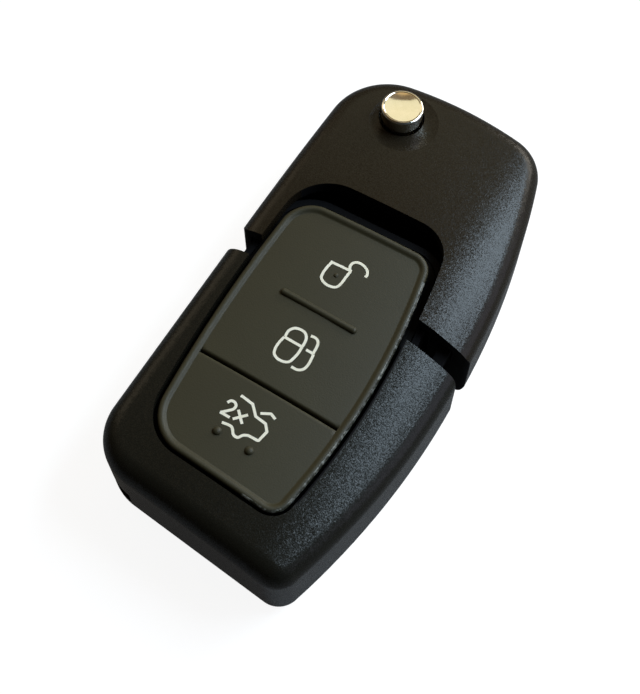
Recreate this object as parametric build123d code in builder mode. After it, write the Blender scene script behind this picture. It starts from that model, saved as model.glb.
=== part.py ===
"""Folding-blade key fob shell with a three-button remote half.

Millimetres. X runs across the fob, +Y towards the pivot end, +Z out of the key face.
The fob lies on its back. The remote half is drawn in place and the pivot head is drawn
where it closes, then stands further up Y by pull_out, as the two halves are part open.
"""
import math
import os

from build123d import *

# Outline of the closed fob, seen from the front
half_width = 16.45
side_arc_radius = 97.0
side_arc_y = -4.5
side_lean = 0.45
nose_y = 30.0
nose_arc_radius = 60.0
nose_arc_x = 0.0
tail_y = -32.6
tail_slope = 4.9
nose_left_radius = 8.4
nose_right_radius = 6.0
tail_left_radius = 7.0
tail_right_radius = 3.0
joint_left_radius = 1.6
joint_right_radius = 0.8
least_radius = 0.4
margin = 1.0

# Thickness, crown of the front and rounding of the edges
body_thickness = 14.4
crown_drop_left = 0.9
crown_peak_x = -4.0
roll_x = 7.0
roll_drop = 0.35
roll_radius = 24.0
roll_sweep = 30.0
nose_crown_radius = 210.0
shoulder_radius = 2.6
rear_edge_radius = 2.8
wall = 1.4
floor_wall = 1.3
partition = 0.8
nose_hollow_depth = 5.4
end_wall = 1.2
fit_gap = 0.3
running_gap = 0.06
press_gap = 0.03
end_gap = 0.1

# Joint line between the pivot head and the remote half
pull_out = 3.0
split_y = 0.15
split_bow = 0.85

# Blade, hub and their level in the thickness
blade_level = 3.5
blade_thickness = 2.2
blade_width = 8.0
blade_length = 36.4
blade_end_room = 0.8
blade_tip_length = 6.0
blade_tip_width = 4.0
blade_groove_width = 2.6
blade_groove_depth = 0.55
blade_groove_start = 3.0
tang_width = 5.6
tang_length = 5.0
pivot_inset = 9.05
pivot_y = 23.7
hub_radius = 4.2
hub_bore_radius = 3.1
arm_reach = 10.0
arm_width = 8.6
arm_bottom = 1.5
arm_top = 6.5
arm_corner = 1.0
hub_bottom = 1.3
hub_depth = 4.0
roll_pin_radius = 0.75
roll_pin_inset = 2.4
roll_pin_slit = 0.3

# Release button with its plunger and spring
cap_radius = 2.7
cap_gap = 0.25
cap_proud = 2.5
cap_edge = 0.25
cap_hollow_radius = 18.0
cap_hollow_depth = 0.16
cap_stem_radius = 1.2
cap_stem_length = 1.4
dish_radius = 4.7
dish_depth = 0.5
dish_shift = 0.9
plunger_height = 1.9
plunger_wing_width = 1.6
button_travel = 1.5
spring_wire_radius = 0.3
spring_coil_radius = 2.1
spring_turns = 4.0
spring_play = 0.05
cup_height = 1.6
cup_wall = 0.5
cup_floor = 0.6

# Rubber keypad
pad_left_inset = 3.85
pad_right_inset = 7.6
pad_arc_radius = 90.0
pad_arc_y = -10.7
pad_left_arc_radius = 180.0
pad_left_arc_y = -4.0
pad_top_y = 10.3
pad_top_slope = 2.7
pad_bottom_y = -26.3
pad_bottom_slope = 3.2
pad_radius_top_left = 4.2
pad_radius_top_right = 2.6
pad_radius_bottom_right = 2.4
pad_radius_bottom_left = 5.6
pad_sink = 0.25
pad_rim_width = 1.1
pad_rim_height = 0.3
pad_gap = 0.5
pad_flange = 0.9
pad_seat_gap = 0.15
pad_flange_height = 0.7
pad_depth = 3.5
key_gap = 0.15
key_depth = 2.7
rib_y = -2.4
rib_width = 0.9
rib_height = 0.4
rib_length = 10.6
rib_x = -1.95
rib_web = 1.6
groove_y = -13.9
groove_width = 0.3
nub_radius = 1.5
nub_drop = 1.3
nub_gap = 0.2
unlock_nub = (-1.5, 6.0)
lock_nub = (-1.5, -8.5)
boot_nub = (-1.5, -19.5)

# Tray that carries the upper end of the keypad into the head
tray_wall = 0.85
tray_floor = 1.0
tray_depth = 7.8

# Window of the head
window_gap = 0.6
window_top_gap = 0.25
window_soften = 1.4

# Screws that hold the two covers of the head together
screw_radius = 0.8
screw_head_radius = 1.5
screw_head_height = 1.1
screw_sink = 0.3
screw_ceiling = 8.4
screw_edge = 0.2
screw_slot = 0.4
screw_cross = 2.0
screw_boss_radius = 2.5
nose_screw_inset = 10.05
nose_screw_y = 22.3
side_screw_inset = 4.95
side_screw_y = 4.7

# Lug on the remote half that finds its pocket in the head
lug_inset = 3.55
lug_width = 1.4
lug_length = 3.0
lug_depth = 5.8
lug_height = 2.0

# Key-ring eye in the corner of the tail
ring_angle = 245.0
ring_width = 4.4
ring_height = 3.0
ring_bar = 2.4
ring_well_length = 3.6
ring_boss_radius = 4.6

# Heights and places worked out from the sizes above
pivot_x = pivot_inset - half_width
pad_left = pad_left_inset - half_width
pad_right = half_width - pad_right_inset
lug_x = half_width - lug_inset
nose_screw = (half_width - nose_screw_inset, nose_screw_y)
side_screw = (half_width - side_screw_inset, side_screw_y)
hub_top = body_thickness - hub_depth
pad_floor = body_thickness - pad_depth
key_body_bottom = body_thickness - key_depth
tray_bottom = body_thickness - tray_depth
tray_top = key_body_bottom
lug_bottom = body_thickness - lug_depth
nose_hollow_top = body_thickness - nose_hollow_depth
screw_length = body_thickness - screw_ceiling
roll_pin_reach = arm_reach - roll_pin_inset
slot_bottom = blade_level - blade_thickness / 2 - fit_gap
slot_top = blade_level + blade_thickness / 2 + fit_gap
parting = blade_level
slot_right = pivot_x + arm_width / 2 + fit_gap
slot_end_y = pivot_y - arm_reach - blade_length - blade_end_room
inner_floor = slot_top + partition
inner_top = pad_floor - tray_floor
cavity_top = tray_top + fit_gap
cavity_bottom = tray_bottom - fit_gap
pad_face = body_thickness - pad_sink
pad_field = pad_face - pad_rim_height
tail_rise = math.tan(math.radians(tail_slope))
side_rise = math.tan(math.radians(side_lean))
tray_grow = pad_flange + pad_seat_gap + tray_wall
nose_hollow_y = pad_top_y + tray_grow + fit_gap + wall
nose_tilt = math.asin((pivot_y - split_y) / nose_crown_radius)
dish_floor = body_thickness - nose_crown_radius * (1 - math.cos(nose_tilt)) - dish_depth
dish_sphere_radius = (dish_radius**2 + dish_depth**2) / (2 * dish_depth)
cap_top = dish_floor + cap_proud
plunger_bottom = hub_top - plunger_height
blade_root_y = pivot_y - arm_reach
blade_tip_y = blade_root_y - blade_length
case_end_y = split_y - split_bow - end_wall
ring_corner_x = tail_left_radius - half_width
ring_corner_y = tail_y - ring_corner_x * tail_rise + tail_left_radius
spring_low = arm_bottom - fit_gap + cup_floor + spring_wire_radius + spring_play
spring_high = plunger_bottom - spring_wire_radius - spring_play
screw_tip = screw_sink + screw_head_height + screw_length
far = 60.0
cutting = 40.0


def fob_outline(inset):
    """The closed outline, drawn this far inside the side walls."""
    with BuildSketch() as sketch:
        with Locations((half_width - side_arc_radius, side_arc_y)):
            Circle(side_arc_radius - inset)
        with Locations((nose_arc_x, nose_y - nose_arc_radius)):
            Circle(nose_arc_radius - inset, mode=Mode.INTERSECT)
        left = inset - half_width
        low = tail_y + inset / math.cos(math.radians(tail_slope))
        with BuildLine():
            Polyline(
                (left - (far + ring_corner_y) * side_rise, -far),
                (far, -far),
                (far, far),
                (left + (far - ring_corner_y) * side_rise, far),
                close=True,
            )
        make_face(mode=Mode.INTERSECT)
        with BuildLine():
            Polyline(
                (-far, low + far * tail_rise),
                (far, low - far * tail_rise),
                (far, far),
                (-far, far),
                close=True,
            )
        make_face(mode=Mode.INTERSECT)
        corners = (
            ((-half_width, nose_y), nose_left_radius),
            ((half_width, nose_y), nose_right_radius),
            ((half_width, tail_y), tail_right_radius),
            ((-half_width, tail_y), tail_left_radius),
        )
        for corner, radius in corners:
            nearest = sketch.vertices().sort_by_distance(corner)[0]
            fillet(nearest, max(radius - inset, least_radius))
    return sketch.sketch


def pad_outline(grow, raised=0.0, soften=0.0):
    """The keypad's outline, this much larger all round, raised and softened at its upper end."""
    top = pad_top_y + grow + raised
    low = pad_bottom_y - grow
    top_rise = math.tan(math.radians(pad_top_slope))
    low_rise = math.tan(math.radians(pad_bottom_slope))
    reach = cutting
    with BuildSketch() as sketch:
        with Locations((pad_right - pad_arc_radius, pad_arc_y)):
            Circle(pad_arc_radius + grow)
        with Locations((pad_left + pad_left_arc_radius, pad_left_arc_y)):
            Circle(pad_left_arc_radius + grow, mode=Mode.INTERSECT)
        with BuildLine():
            Polyline(
                (-reach, low + reach * low_rise),
                (reach, low - reach * low_rise),
                (reach, top + reach * top_rise),
                (-reach, top - reach * top_rise),
                close=True,
            )
        make_face(mode=Mode.INTERSECT)
        corners = (
            ((pad_left, pad_top_y), pad_radius_top_left + soften),
            ((pad_right, pad_top_y), pad_radius_top_right + soften),
            ((pad_right, pad_bottom_y), pad_radius_bottom_right),
            ((pad_left, pad_bottom_y), pad_radius_bottom_left),
        )
        for corner, radius in corners:
            nearest = sketch.vertices().sort_by_distance(corner)[0]
            fillet(nearest, max(radius + grow, least_radius))
    return sketch.sketch


def crown_section(sink):
    """What lies under the crowned front, across the fob, this far below its face."""
    top = body_thickness - sink
    edge = half_width + margin
    with BuildSketch() as sketch:
        with BuildLine():
            face = ThreePointArc(
                (-edge, top - crown_drop_left),
                (crown_peak_x, top),
                (roll_x, top - roll_drop),
            )
            roll = JernArc(face @ 1, face % 1, roll_radius, -roll_sweep)
            Polyline(roll @ 1, ((roll @ 1).X, -body_thickness), (-edge, -body_thickness), face @ 0)
        make_face()
    return sketch.sketch


def front_rim(form):
    """Edges where the crowned front of a form meets its side walls."""
    high = form.edges().filter_by(lambda edge: edge.bounding_box().min.Z > body_thickness / 2)
    return high.filter_by(
        lambda edge: edge.bounding_box().size.X > 0.01 or edge.center().X < crown_peak_x
    )


def half_plan(towards, left_radius, right_radius):
    """Everything on one side of the bowed joint line: +1 is the head, -1 the remote."""
    edge = half_width + running_gap
    with BuildSketch() as sketch:
        with BuildLine():
            ThreePointArc(
                (-edge, split_y - split_bow),
                (0, split_y),
                (edge, split_y - split_bow),
            )
            Polyline(
                (edge, split_y - split_bow),
                (edge, towards * far),
                (-edge, towards * far),
                (-edge, split_y - split_bow),
            )
        make_face()
        for side, radius in ((-edge, left_radius), (edge, right_radius)):
            corner = sketch.vertices().sort_by_distance((side, split_y - split_bow))[0]
            fillet(corner, radius)
    return sketch.sketch


def blade_path(gap):
    """Ground that the blade's arm covers as it swings from the tail to the nose."""
    reach = math.hypot(arm_reach, arm_width / 2) + gap
    with BuildSketch() as sketch:
        with Locations((pivot_x, pivot_y)):
            Circle(reach)
        with Locations((pivot_x + arm_width / 2 + gap, pivot_y)):
            Rectangle(cutting, cutting * 2, align=(Align.MIN, Align.CENTER), mode=Mode.SUBTRACT)
    return sketch.sketch


def between(left, right, low, high):
    """A plain rectangle between these four sides."""
    shape = Rectangle(right - left, high - low, mode=Mode.PRIVATE)
    return Pos((left + right) / 2, (low + high) / 2) * shape


def head_level(height):
    """A plane at this height in the head, which stands pull_out up the Y axis."""
    return Plane(origin=(0, pull_out, height))


def level(height):
    """A plane at this height in the remote half."""
    return Plane(origin=(0, 0, height))


def ring_level(height):
    """A plane at this height in the tail corner, with its X pointing out of the corner."""
    angle = math.radians(ring_angle)
    return Plane(
        origin=(ring_corner_x, ring_corner_y, height),
        x_dir=(math.cos(angle), math.sin(angle), 0),
        z_dir=(0, 0, 1),
    )


def hollow(left, low, high):
    """The room inside the side walls, right of a wall and between two ends."""
    with BuildSketch() as sketch:
        add(outline_inside)
        add(between(left, far, low, high), mode=Mode.INTERSECT)
    return sketch.sketch


outline = fob_outline(0)
outline_inside = fob_outline(wall)
head_plan = half_plan(1, joint_left_radius, joint_right_radius)
remote_plan = half_plan(-1, joint_right_radius, joint_right_radius)
front_crown = crown_section(0)
arm_ground = blade_path(fit_gap)
pad_shape = pad_outline(0)
pad_window = pad_outline(pad_gap)
pad_flange_shape = pad_outline(pad_flange)
pad_seat = pad_outline(pad_flange + pad_seat_gap)
pad_inside = pad_outline(-pad_rim_width)
pad_inside_keys = pad_outline(-pad_rim_width - key_gap)
tray_shape = pad_outline(tray_grow)
tray_room = pad_outline(tray_grow + fit_gap)
head_window = pad_outline(window_gap, window_top_gap, window_soften)
pivot = (pivot_x, pivot_y)
rim_crown = crown_section(pad_sink)
field_crown = crown_section(pad_sink + pad_rim_height)
blade_side = between(-far, slot_right, -far, far)
remote_slot = between(-far, slot_right, slot_end_y, far)
head_hollow = hollow(slot_right + partition, split_y + end_wall, far)
nose_hollow = hollow(slot_right + partition, nose_hollow_y, far)
case_hollow = hollow(-far, -far, case_end_y)
side_hollow = hollow(slot_right + partition, -far, case_end_y)
tray_reach = tray_shape & between(-far, far, case_end_y, far)
tray_hollow = pad_seat & between(-far, far, case_end_y - wall, far)
ring_outside = tail_left_radius - ring_bar
ring_well = between(ring_outside - ring_well_length, ring_outside, -ring_width / 2, ring_width / 2)
ring_mouth = between(ring_outside - ring_well_length, far, -ring_width / 2, ring_width / 2)
ring_boss = Pos(ring_outside - ring_well_length / 2, 0) * Circle(ring_boss_radius)
dish_level = Plane(
    origin=(pivot_x, pivot_y + pull_out - dish_shift, dish_floor),
    z_dir=(0, math.sin(nose_tilt), math.cos(nose_tilt)),
)
cap_level = Plane(
    origin=(pivot_x, pivot_y + pull_out, cap_top),
    z_dir=(0, math.sin(nose_tilt), math.cos(nose_tilt)),
)

# The two outer forms, closed and solid, from which the covers are cut

with BuildPart() as head_form:
    with BuildSketch(head_level(0)):
        add(outline)
    extrude(amount=body_thickness + margin)
    with BuildSketch(Plane.XZ.offset(-split_y - pull_out)):
        add(front_crown)
    revolve(
        axis=Axis((0, split_y + pull_out, body_thickness - nose_crown_radius), (1, 0, 0)),
        mode=Mode.INTERSECT,
    )
    fillet(front_rim(head_form), shoulder_radius)
    fillet(head_form.faces().sort_by(Axis.Z)[0].edges(), rear_edge_radius)
    with BuildSketch(head_level(-margin)):
        add(head_plan)
    extrude(amount=body_thickness + 2 * margin, mode=Mode.INTERSECT)

with BuildPart() as remote_form:
    with BuildSketch(level(0)):
        add(outline)
    extrude(amount=body_thickness + margin)
    with BuildSketch(Plane.XZ):
        add(front_crown)
    extrude(amount=far, both=True, mode=Mode.INTERSECT)
    fillet(front_rim(remote_form), shoulder_radius)
    fillet(remote_form.faces().sort_by(Axis.Z)[0].edges(), rear_edge_radius)
    with BuildSketch(level(-margin)):
        add(remote_plan)
    extrude(amount=body_thickness + 2 * margin, mode=Mode.INTERSECT)


# Pivot head: front and rear cover

with BuildPart() as head_front_cover:
    add(head_form.part)
    split(bisect_by=Plane.XY.offset(parting), keep=Keep.TOP)
    with BuildSketch(head_level(cavity_bottom)):
        add(tray_room)
    extrude(amount=cavity_top - cavity_bottom, mode=Mode.SUBTRACT)
    with BuildSketch(head_level(cavity_bottom)):
        add(head_window)
    extrude(amount=body_thickness, mode=Mode.SUBTRACT)
    with BuildSketch(head_level(parting)):
        add(head_hollow)
        with Locations(nose_screw, side_screw):
            Circle(screw_boss_radius, mode=Mode.SUBTRACT)
    extrude(amount=cavity_bottom + end_gap - parting, mode=Mode.SUBTRACT)
    with BuildSketch(head_level(parting)):
        add(nose_hollow)
        with Locations(nose_screw):
            Circle(screw_boss_radius, mode=Mode.SUBTRACT)
    extrude(amount=nose_hollow_top - parting, mode=Mode.SUBTRACT)
    with BuildSketch(head_level(parting)):
        add(arm_ground)
    extrude(amount=arm_top + fit_gap - parting, mode=Mode.SUBTRACT)
    with BuildSketch(head_level(parting)):
        add(blade_side)
    extrude(amount=slot_top - parting, mode=Mode.SUBTRACT)
    with BuildSketch(head_level(parting)):
        with Locations(pivot):
            Circle(hub_radius + cap_gap)
    extrude(amount=hub_top + end_gap - parting, mode=Mode.SUBTRACT)
    with BuildSketch(head_level(parting)):
        with Locations(pivot):
            Circle(cap_radius + cap_gap)
    extrude(amount=body_thickness, mode=Mode.SUBTRACT)
    with Locations(dish_level):
        Sphere(dish_sphere_radius, align=(Align.CENTER, Align.CENTER, Align.MIN), mode=Mode.SUBTRACT)
    with BuildSketch(head_level(parting)):
        with Locations(nose_screw, side_screw):
            Circle(screw_radius + press_gap)
    extrude(amount=screw_tip + fit_gap - parting, mode=Mode.SUBTRACT)
    with BuildSketch(head_level(lug_bottom - fit_gap)):
        with Locations((lug_x, split_y)):
            Rectangle(lug_width + 2 * fit_gap, 2 * (lug_length + fit_gap))
    extrude(amount=lug_height + 2 * fit_gap, mode=Mode.SUBTRACT)
head_front_cover.part.label = "head_front_cover"

with BuildPart() as head_rear_cover:
    add(head_form.part)
    split(bisect_by=Plane.XY.offset(parting), keep=Keep.BOTTOM)
    with BuildSketch(head_level(floor_wall)):
        add(head_hollow)
        with Locations(nose_screw, side_screw):
            Circle(screw_boss_radius, mode=Mode.SUBTRACT)
    extrude(amount=parting - floor_wall, mode=Mode.SUBTRACT)
    with BuildSketch(head_level(arm_bottom - fit_gap)):
        add(arm_ground)
    extrude(amount=parting, mode=Mode.SUBTRACT)
    with BuildSketch(head_level(slot_bottom)):
        add(blade_side)
    extrude(amount=parting, mode=Mode.SUBTRACT)
    with BuildSketch(head_level(0)):
        with Locations(nose_screw, side_screw):
            Circle(screw_radius + fit_gap / 2)
    extrude(amount=parting, mode=Mode.SUBTRACT)
    with BuildSketch(head_level(0)):
        with Locations(nose_screw, side_screw):
            Circle(screw_head_radius + fit_gap / 2)
    extrude(amount=screw_sink + screw_head_height, mode=Mode.SUBTRACT)
head_rear_cover.part.label = "head_rear_cover"

screws = []
for name, place in (("nose_screw", nose_screw), ("side_screw", side_screw)):
    with BuildPart() as cover_screw:
        with BuildSketch(head_level(screw_sink)):
            with Locations(place):
                Circle(screw_head_radius)
        extrude(amount=screw_head_height)
        chamfer(cover_screw.edges().group_by(Axis.Z)[0], screw_edge)
        with BuildSketch(head_level(screw_sink + screw_head_height)):
            with Locations(place):
                Circle(screw_radius)
        extrude(amount=screw_length)
        chamfer(cover_screw.edges().group_by(Axis.Z)[-1], screw_radius / 2)
        with BuildSketch(head_level(screw_sink)):
            with Locations(place):
                Rectangle(screw_cross, screw_slot)
                Rectangle(screw_slot, screw_cross)
        extrude(amount=screw_slot, mode=Mode.SUBTRACT)
    cover_screw.part.label = name
    screws.append(cover_screw)

# Blade, hub and roll pin, which turn about the pivot

with BuildPart() as blade_hub:
    with BuildSketch(head_level(hub_bottom)):
        with Locations(pivot):
            Circle(hub_radius)
    extrude(amount=hub_top - hub_bottom)
    with BuildSketch(head_level(arm_bottom)) as arm_sketch:
        with Locations(pivot):
            Rectangle(arm_width, arm_reach, align=(Align.CENTER, Align.MAX))
        fillet(arm_sketch.vertices().group_by(Axis.Y)[0], arm_corner)
    extrude(amount=arm_top - arm_bottom)
    with BuildSketch(head_level(0)):
        with Locations(pivot):
            Circle(hub_bore_radius)
    extrude(amount=body_thickness, mode=Mode.SUBTRACT)
    with BuildSketch(head_level(plunger_bottom - button_travel - fit_gap)):
        with Locations(pivot):
            Rectangle(cutting, plunger_wing_width + 2 * running_gap)
    extrude(amount=body_thickness, mode=Mode.SUBTRACT)
    with BuildSketch(head_level(blade_level - blade_thickness / 2 - press_gap)):
        with Locations((pivot_x, pivot_y - arm_reach)):
            Rectangle(tang_width + 2 * press_gap, 2 * (tang_length + press_gap))
    extrude(amount=blade_thickness + 2 * press_gap, mode=Mode.SUBTRACT)
    with BuildSketch(head_level(0)):
        with Locations((pivot_x, pivot_y - roll_pin_reach)):
            Circle(roll_pin_radius + press_gap)
    extrude(amount=arm_top + margin, mode=Mode.SUBTRACT)
blade_hub.part.label = "blade_hub"

with BuildPart() as blade:
    with BuildSketch(head_level(blade_level - blade_thickness / 2)):
        with Locations((pivot_x, pivot_y - arm_reach)):
            Rectangle(tang_width, 2 * tang_length)
        with BuildLine():
            Polyline(
                (pivot_x - blade_width / 2, blade_root_y),
                (pivot_x + blade_width / 2, blade_root_y),
                (pivot_x + blade_width / 2, blade_tip_y + blade_tip_length),
                (pivot_x + blade_tip_width / 2, blade_tip_y + blade_tip_length / 4),
                (pivot_x + blade_tip_width / 4, blade_tip_y),
                (pivot_x - blade_tip_width / 4, blade_tip_y),
                (pivot_x - blade_tip_width / 2, blade_tip_y + blade_tip_length / 4),
                (pivot_x - blade_width / 2, blade_tip_y + blade_tip_length),
                close=True,
            )
        make_face()
    extrude(amount=blade_thickness)
    for face_level in (
        blade_level - blade_thickness / 2,
        blade_level + blade_thickness / 2 - blade_groove_depth,
    ):
        with BuildSketch(head_level(face_level)):
            with Locations((pivot_x, blade_root_y - blade_groove_start)):
                Rectangle(blade_groove_width, cutting, align=(Align.CENTER, Align.MAX))
        extrude(amount=blade_groove_depth, mode=Mode.SUBTRACT)
    with BuildSketch(head_level(0)):
        with Locations((pivot_x, pivot_y - roll_pin_reach)):
            Circle(roll_pin_radius + press_gap)
    extrude(amount=arm_top, mode=Mode.SUBTRACT)
blade.part.label = "blade"

with BuildPart() as blade_roll_pin:
    with BuildSketch(head_level(arm_bottom + fit_gap)):
        with Locations((pivot_x, pivot_y - roll_pin_reach)):
            Circle(roll_pin_radius)
            Circle(roll_pin_radius / 2, mode=Mode.SUBTRACT)
            with Locations((roll_pin_radius, 0)):
                Rectangle(roll_pin_radius * 2, roll_pin_slit, mode=Mode.SUBTRACT)
    extrude(amount=arm_top - arm_bottom - 2 * fit_gap)
blade_roll_pin.part.label = "blade_roll_pin"

# Spring cup in the rear cover, spring, plunger and the plated cap on it

with BuildPart() as spring_cup:
    with BuildSketch(head_level(arm_bottom - fit_gap)):
        with Locations(pivot):
            Circle(hub_bore_radius - running_gap)
    extrude(amount=cup_height)
    with BuildSketch(head_level(arm_bottom - fit_gap + cup_floor)):
        with Locations(pivot):
            Circle(hub_bore_radius - running_gap - cup_wall)
    extrude(amount=cup_height, mode=Mode.SUBTRACT)
spring_cup.part.label = "spring_cup"

with BuildPart() as hub_spring:
    with BuildLine():
        coil = Helix(
            pitch=(spring_high - spring_low) / spring_turns,
            height=spring_high - spring_low,
            radius=spring_coil_radius,
            center=(pivot_x, pivot_y + pull_out, spring_low),
        )
    with BuildSketch(Plane(origin=coil @ 0, z_dir=coil % 0)):
        Circle(spring_wire_radius)
    sweep(path=coil)
hub_spring.part.label = "hub_spring"

with BuildPart() as lock_plunger:
    with BuildSketch(head_level(plunger_bottom)):
        with Locations(pivot):
            Circle(hub_bore_radius - running_gap)
            Rectangle(2 * (hub_radius - running_gap), plunger_wing_width)
    extrude(amount=plunger_height)
    with BuildSketch(head_level(plunger_bottom + plunger_height - cap_stem_length - press_gap)):
        with Locations(pivot):
            Circle(cap_stem_radius + press_gap)
    extrude(amount=plunger_height, mode=Mode.SUBTRACT)
lock_plunger.part.label = "lock_plunger"

with BuildPart() as release_button:
    with BuildSketch(head_level(hub_top)):
        with Locations(pivot):
            Circle(cap_radius)
    extrude(amount=cap_top + margin - hub_top)
    split(bisect_by=cap_level, keep=Keep.BOTTOM)
    fillet(release_button.edges().group_by(Axis.Z)[-1], cap_edge)
    with Locations(cap_level.offset(-cap_hollow_depth)):
        Sphere(cap_hollow_radius, align=(Align.CENTER, Align.CENTER, Align.MIN), mode=Mode.SUBTRACT)
    with BuildSketch(head_level(hub_top - cap_stem_length)):
        with Locations(pivot):
            Circle(cap_stem_radius)
    extrude(amount=cap_stem_length)
release_button.part.label = "release_button"

# Remote half: front and rear case

with BuildPart() as remote_front_case:
    add(remote_form.part)
    split(bisect_by=Plane.XY.offset(parting), keep=Keep.TOP)
    with BuildSketch(level(tray_bottom)):
        add(tray_reach)
    extrude(amount=tray_top - tray_bottom)
    with BuildSketch(level(inner_floor)):
        add(case_hollow)
        add(ring_level(0) * ring_boss, mode=Mode.SUBTRACT)
    extrude(amount=inner_top - inner_floor, mode=Mode.SUBTRACT)
    with BuildSketch(level(parting)):
        add(side_hollow)
    extrude(amount=inner_top - parting, mode=Mode.SUBTRACT)
    with BuildSketch(level(inner_floor)):
        add(tray_hollow)
    extrude(amount=inner_top - inner_floor, mode=Mode.SUBTRACT)
    with BuildSketch(level(pad_floor)):
        add(pad_seat)
    extrude(amount=tray_top - pad_floor, mode=Mode.SUBTRACT)
    with BuildSketch(level(pad_floor)):
        add(pad_window)
    extrude(amount=body_thickness, mode=Mode.SUBTRACT)
    with BuildSketch(level(inner_top - margin)):
        with Locations(unlock_nub, lock_nub, boot_nub):
            Circle(nub_radius + nub_gap)
    extrude(amount=tray_floor + 2 * margin, mode=Mode.SUBTRACT)
    with BuildSketch(level(parting)):
        add(remote_slot)
    extrude(amount=slot_top - parting, mode=Mode.SUBTRACT)
    with BuildSketch(level(lug_bottom)):
        add(between(lug_x - lug_width / 2, lug_x + lug_width / 2, case_end_y, split_y + lug_length))
    extrude(amount=lug_height)
    with BuildSketch(ring_level(parting)):
        add(ring_mouth)
    extrude(amount=ring_height, mode=Mode.SUBTRACT)
remote_front_case.part.label = "remote_front_case"

with BuildPart() as remote_rear_case:
    add(remote_form.part)
    split(bisect_by=Plane.XY.offset(parting), keep=Keep.BOTTOM)
    with BuildSketch(level(floor_wall)):
        add(side_hollow)
    extrude(amount=parting, mode=Mode.SUBTRACT)
    with BuildSketch(level(slot_bottom)):
        add(remote_slot)
    extrude(amount=parting, mode=Mode.SUBTRACT)
    with BuildSketch(ring_level(0)):
        add(ring_well)
    extrude(amount=parting, mode=Mode.SUBTRACT)
remote_rear_case.part.label = "remote_rear_case"

# Rubber keypad: the rim that stays and the three keys that are pressed

with BuildPart() as keypad_frame:
    with BuildSketch(level(key_body_bottom)):
        add(between(-far, far, rib_y - rib_web / 2, rib_y + rib_web / 2))
        add(pad_inside, mode=Mode.INTERSECT)
    extrude(amount=body_thickness)
    with BuildSketch(Plane.XZ):
        add(field_crown)
    extrude(amount=far, both=True, mode=Mode.INTERSECT)
    with BuildSketch(level(pad_floor)):
        add(pad_shape)
        add(pad_inside, mode=Mode.SUBTRACT)
    extrude(amount=body_thickness)
    with BuildSketch(Plane.XZ):
        add(rim_crown)
    extrude(amount=far, both=True, mode=Mode.INTERSECT)
    with BuildSketch(level(pad_floor)):
        add(pad_flange_shape)
        add(pad_inside, mode=Mode.SUBTRACT)
    extrude(amount=pad_flange_height)
    with BuildSketch(level(key_body_bottom)):
        with Locations((rib_x, rib_y)):
            SlotOverall(rib_length, rib_width)
    extrude(amount=pad_field + rib_height - key_body_bottom)
keypad_frame.part.label = "keypad_frame"

keys = []
key_rows = (
    ("unlock_key", rib_y + rib_web / 2 + key_gap, far, unlock_nub),
    ("lock_key", groove_y + groove_width / 2, rib_y - rib_web / 2 - key_gap, lock_nub),
    ("boot_key", -far, groove_y - groove_width / 2, boot_nub),
)
for name, low_y, high_y, nub in key_rows:
    with BuildPart() as key:
        with BuildSketch(level(key_body_bottom)):
            add(pad_inside_keys)
            add(between(-far, far, low_y, high_y), mode=Mode.INTERSECT)
        extrude(amount=body_thickness)
        with BuildSketch(Plane.XZ):
            add(field_crown)
        extrude(amount=far, both=True, mode=Mode.INTERSECT)
        with BuildSketch(level(key_body_bottom - nub_drop)):
            with Locations(nub):
                Circle(nub_radius)
        extrude(amount=nub_drop)
    key.part.label = name
    keys.append(key)

os.makedirs("parts", exist_ok=True)
pieces = [
    head_front_cover,
    head_rear_cover,
    *screws,
    blade_hub,
    blade,
    blade_roll_pin,
    spring_cup,
    hub_spring,
    lock_plunger,
    release_button,
    remote_front_case,
    remote_rear_case,
    keypad_frame,
    *keys,
]
for piece in pieces:
    export_step(piece.part, f"parts/{piece.part.label}.step")
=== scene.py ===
"""Looks of the folding key fob shell: plastics, keypad, printed signs, metals, floor and light."""
import math

import bmesh
import bpy
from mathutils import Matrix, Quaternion, Vector


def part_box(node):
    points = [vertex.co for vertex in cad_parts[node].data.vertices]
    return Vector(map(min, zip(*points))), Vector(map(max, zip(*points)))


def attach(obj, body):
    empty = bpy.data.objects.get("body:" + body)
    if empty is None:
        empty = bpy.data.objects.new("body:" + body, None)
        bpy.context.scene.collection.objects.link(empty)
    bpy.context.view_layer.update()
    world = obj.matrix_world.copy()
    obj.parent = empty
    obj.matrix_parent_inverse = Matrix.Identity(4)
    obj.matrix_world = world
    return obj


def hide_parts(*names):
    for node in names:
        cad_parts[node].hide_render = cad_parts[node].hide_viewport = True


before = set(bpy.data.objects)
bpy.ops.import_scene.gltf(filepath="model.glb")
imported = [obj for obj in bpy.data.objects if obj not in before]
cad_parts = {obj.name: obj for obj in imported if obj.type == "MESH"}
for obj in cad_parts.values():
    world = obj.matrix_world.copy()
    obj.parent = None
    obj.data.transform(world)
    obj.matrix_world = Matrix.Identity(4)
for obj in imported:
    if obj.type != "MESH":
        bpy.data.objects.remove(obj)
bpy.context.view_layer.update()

MM = 0.001

# Front face of the fob, in millimetres, as the solids have it
BODY_THICKNESS = 14.4
CROWN_EDGE = (-17.45, -0.9)
CROWN_PEAK = (-4.0, 0.0)
ROLL_START = (7.0, -0.35)
ROLL_RADIUS = 24.0

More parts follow.
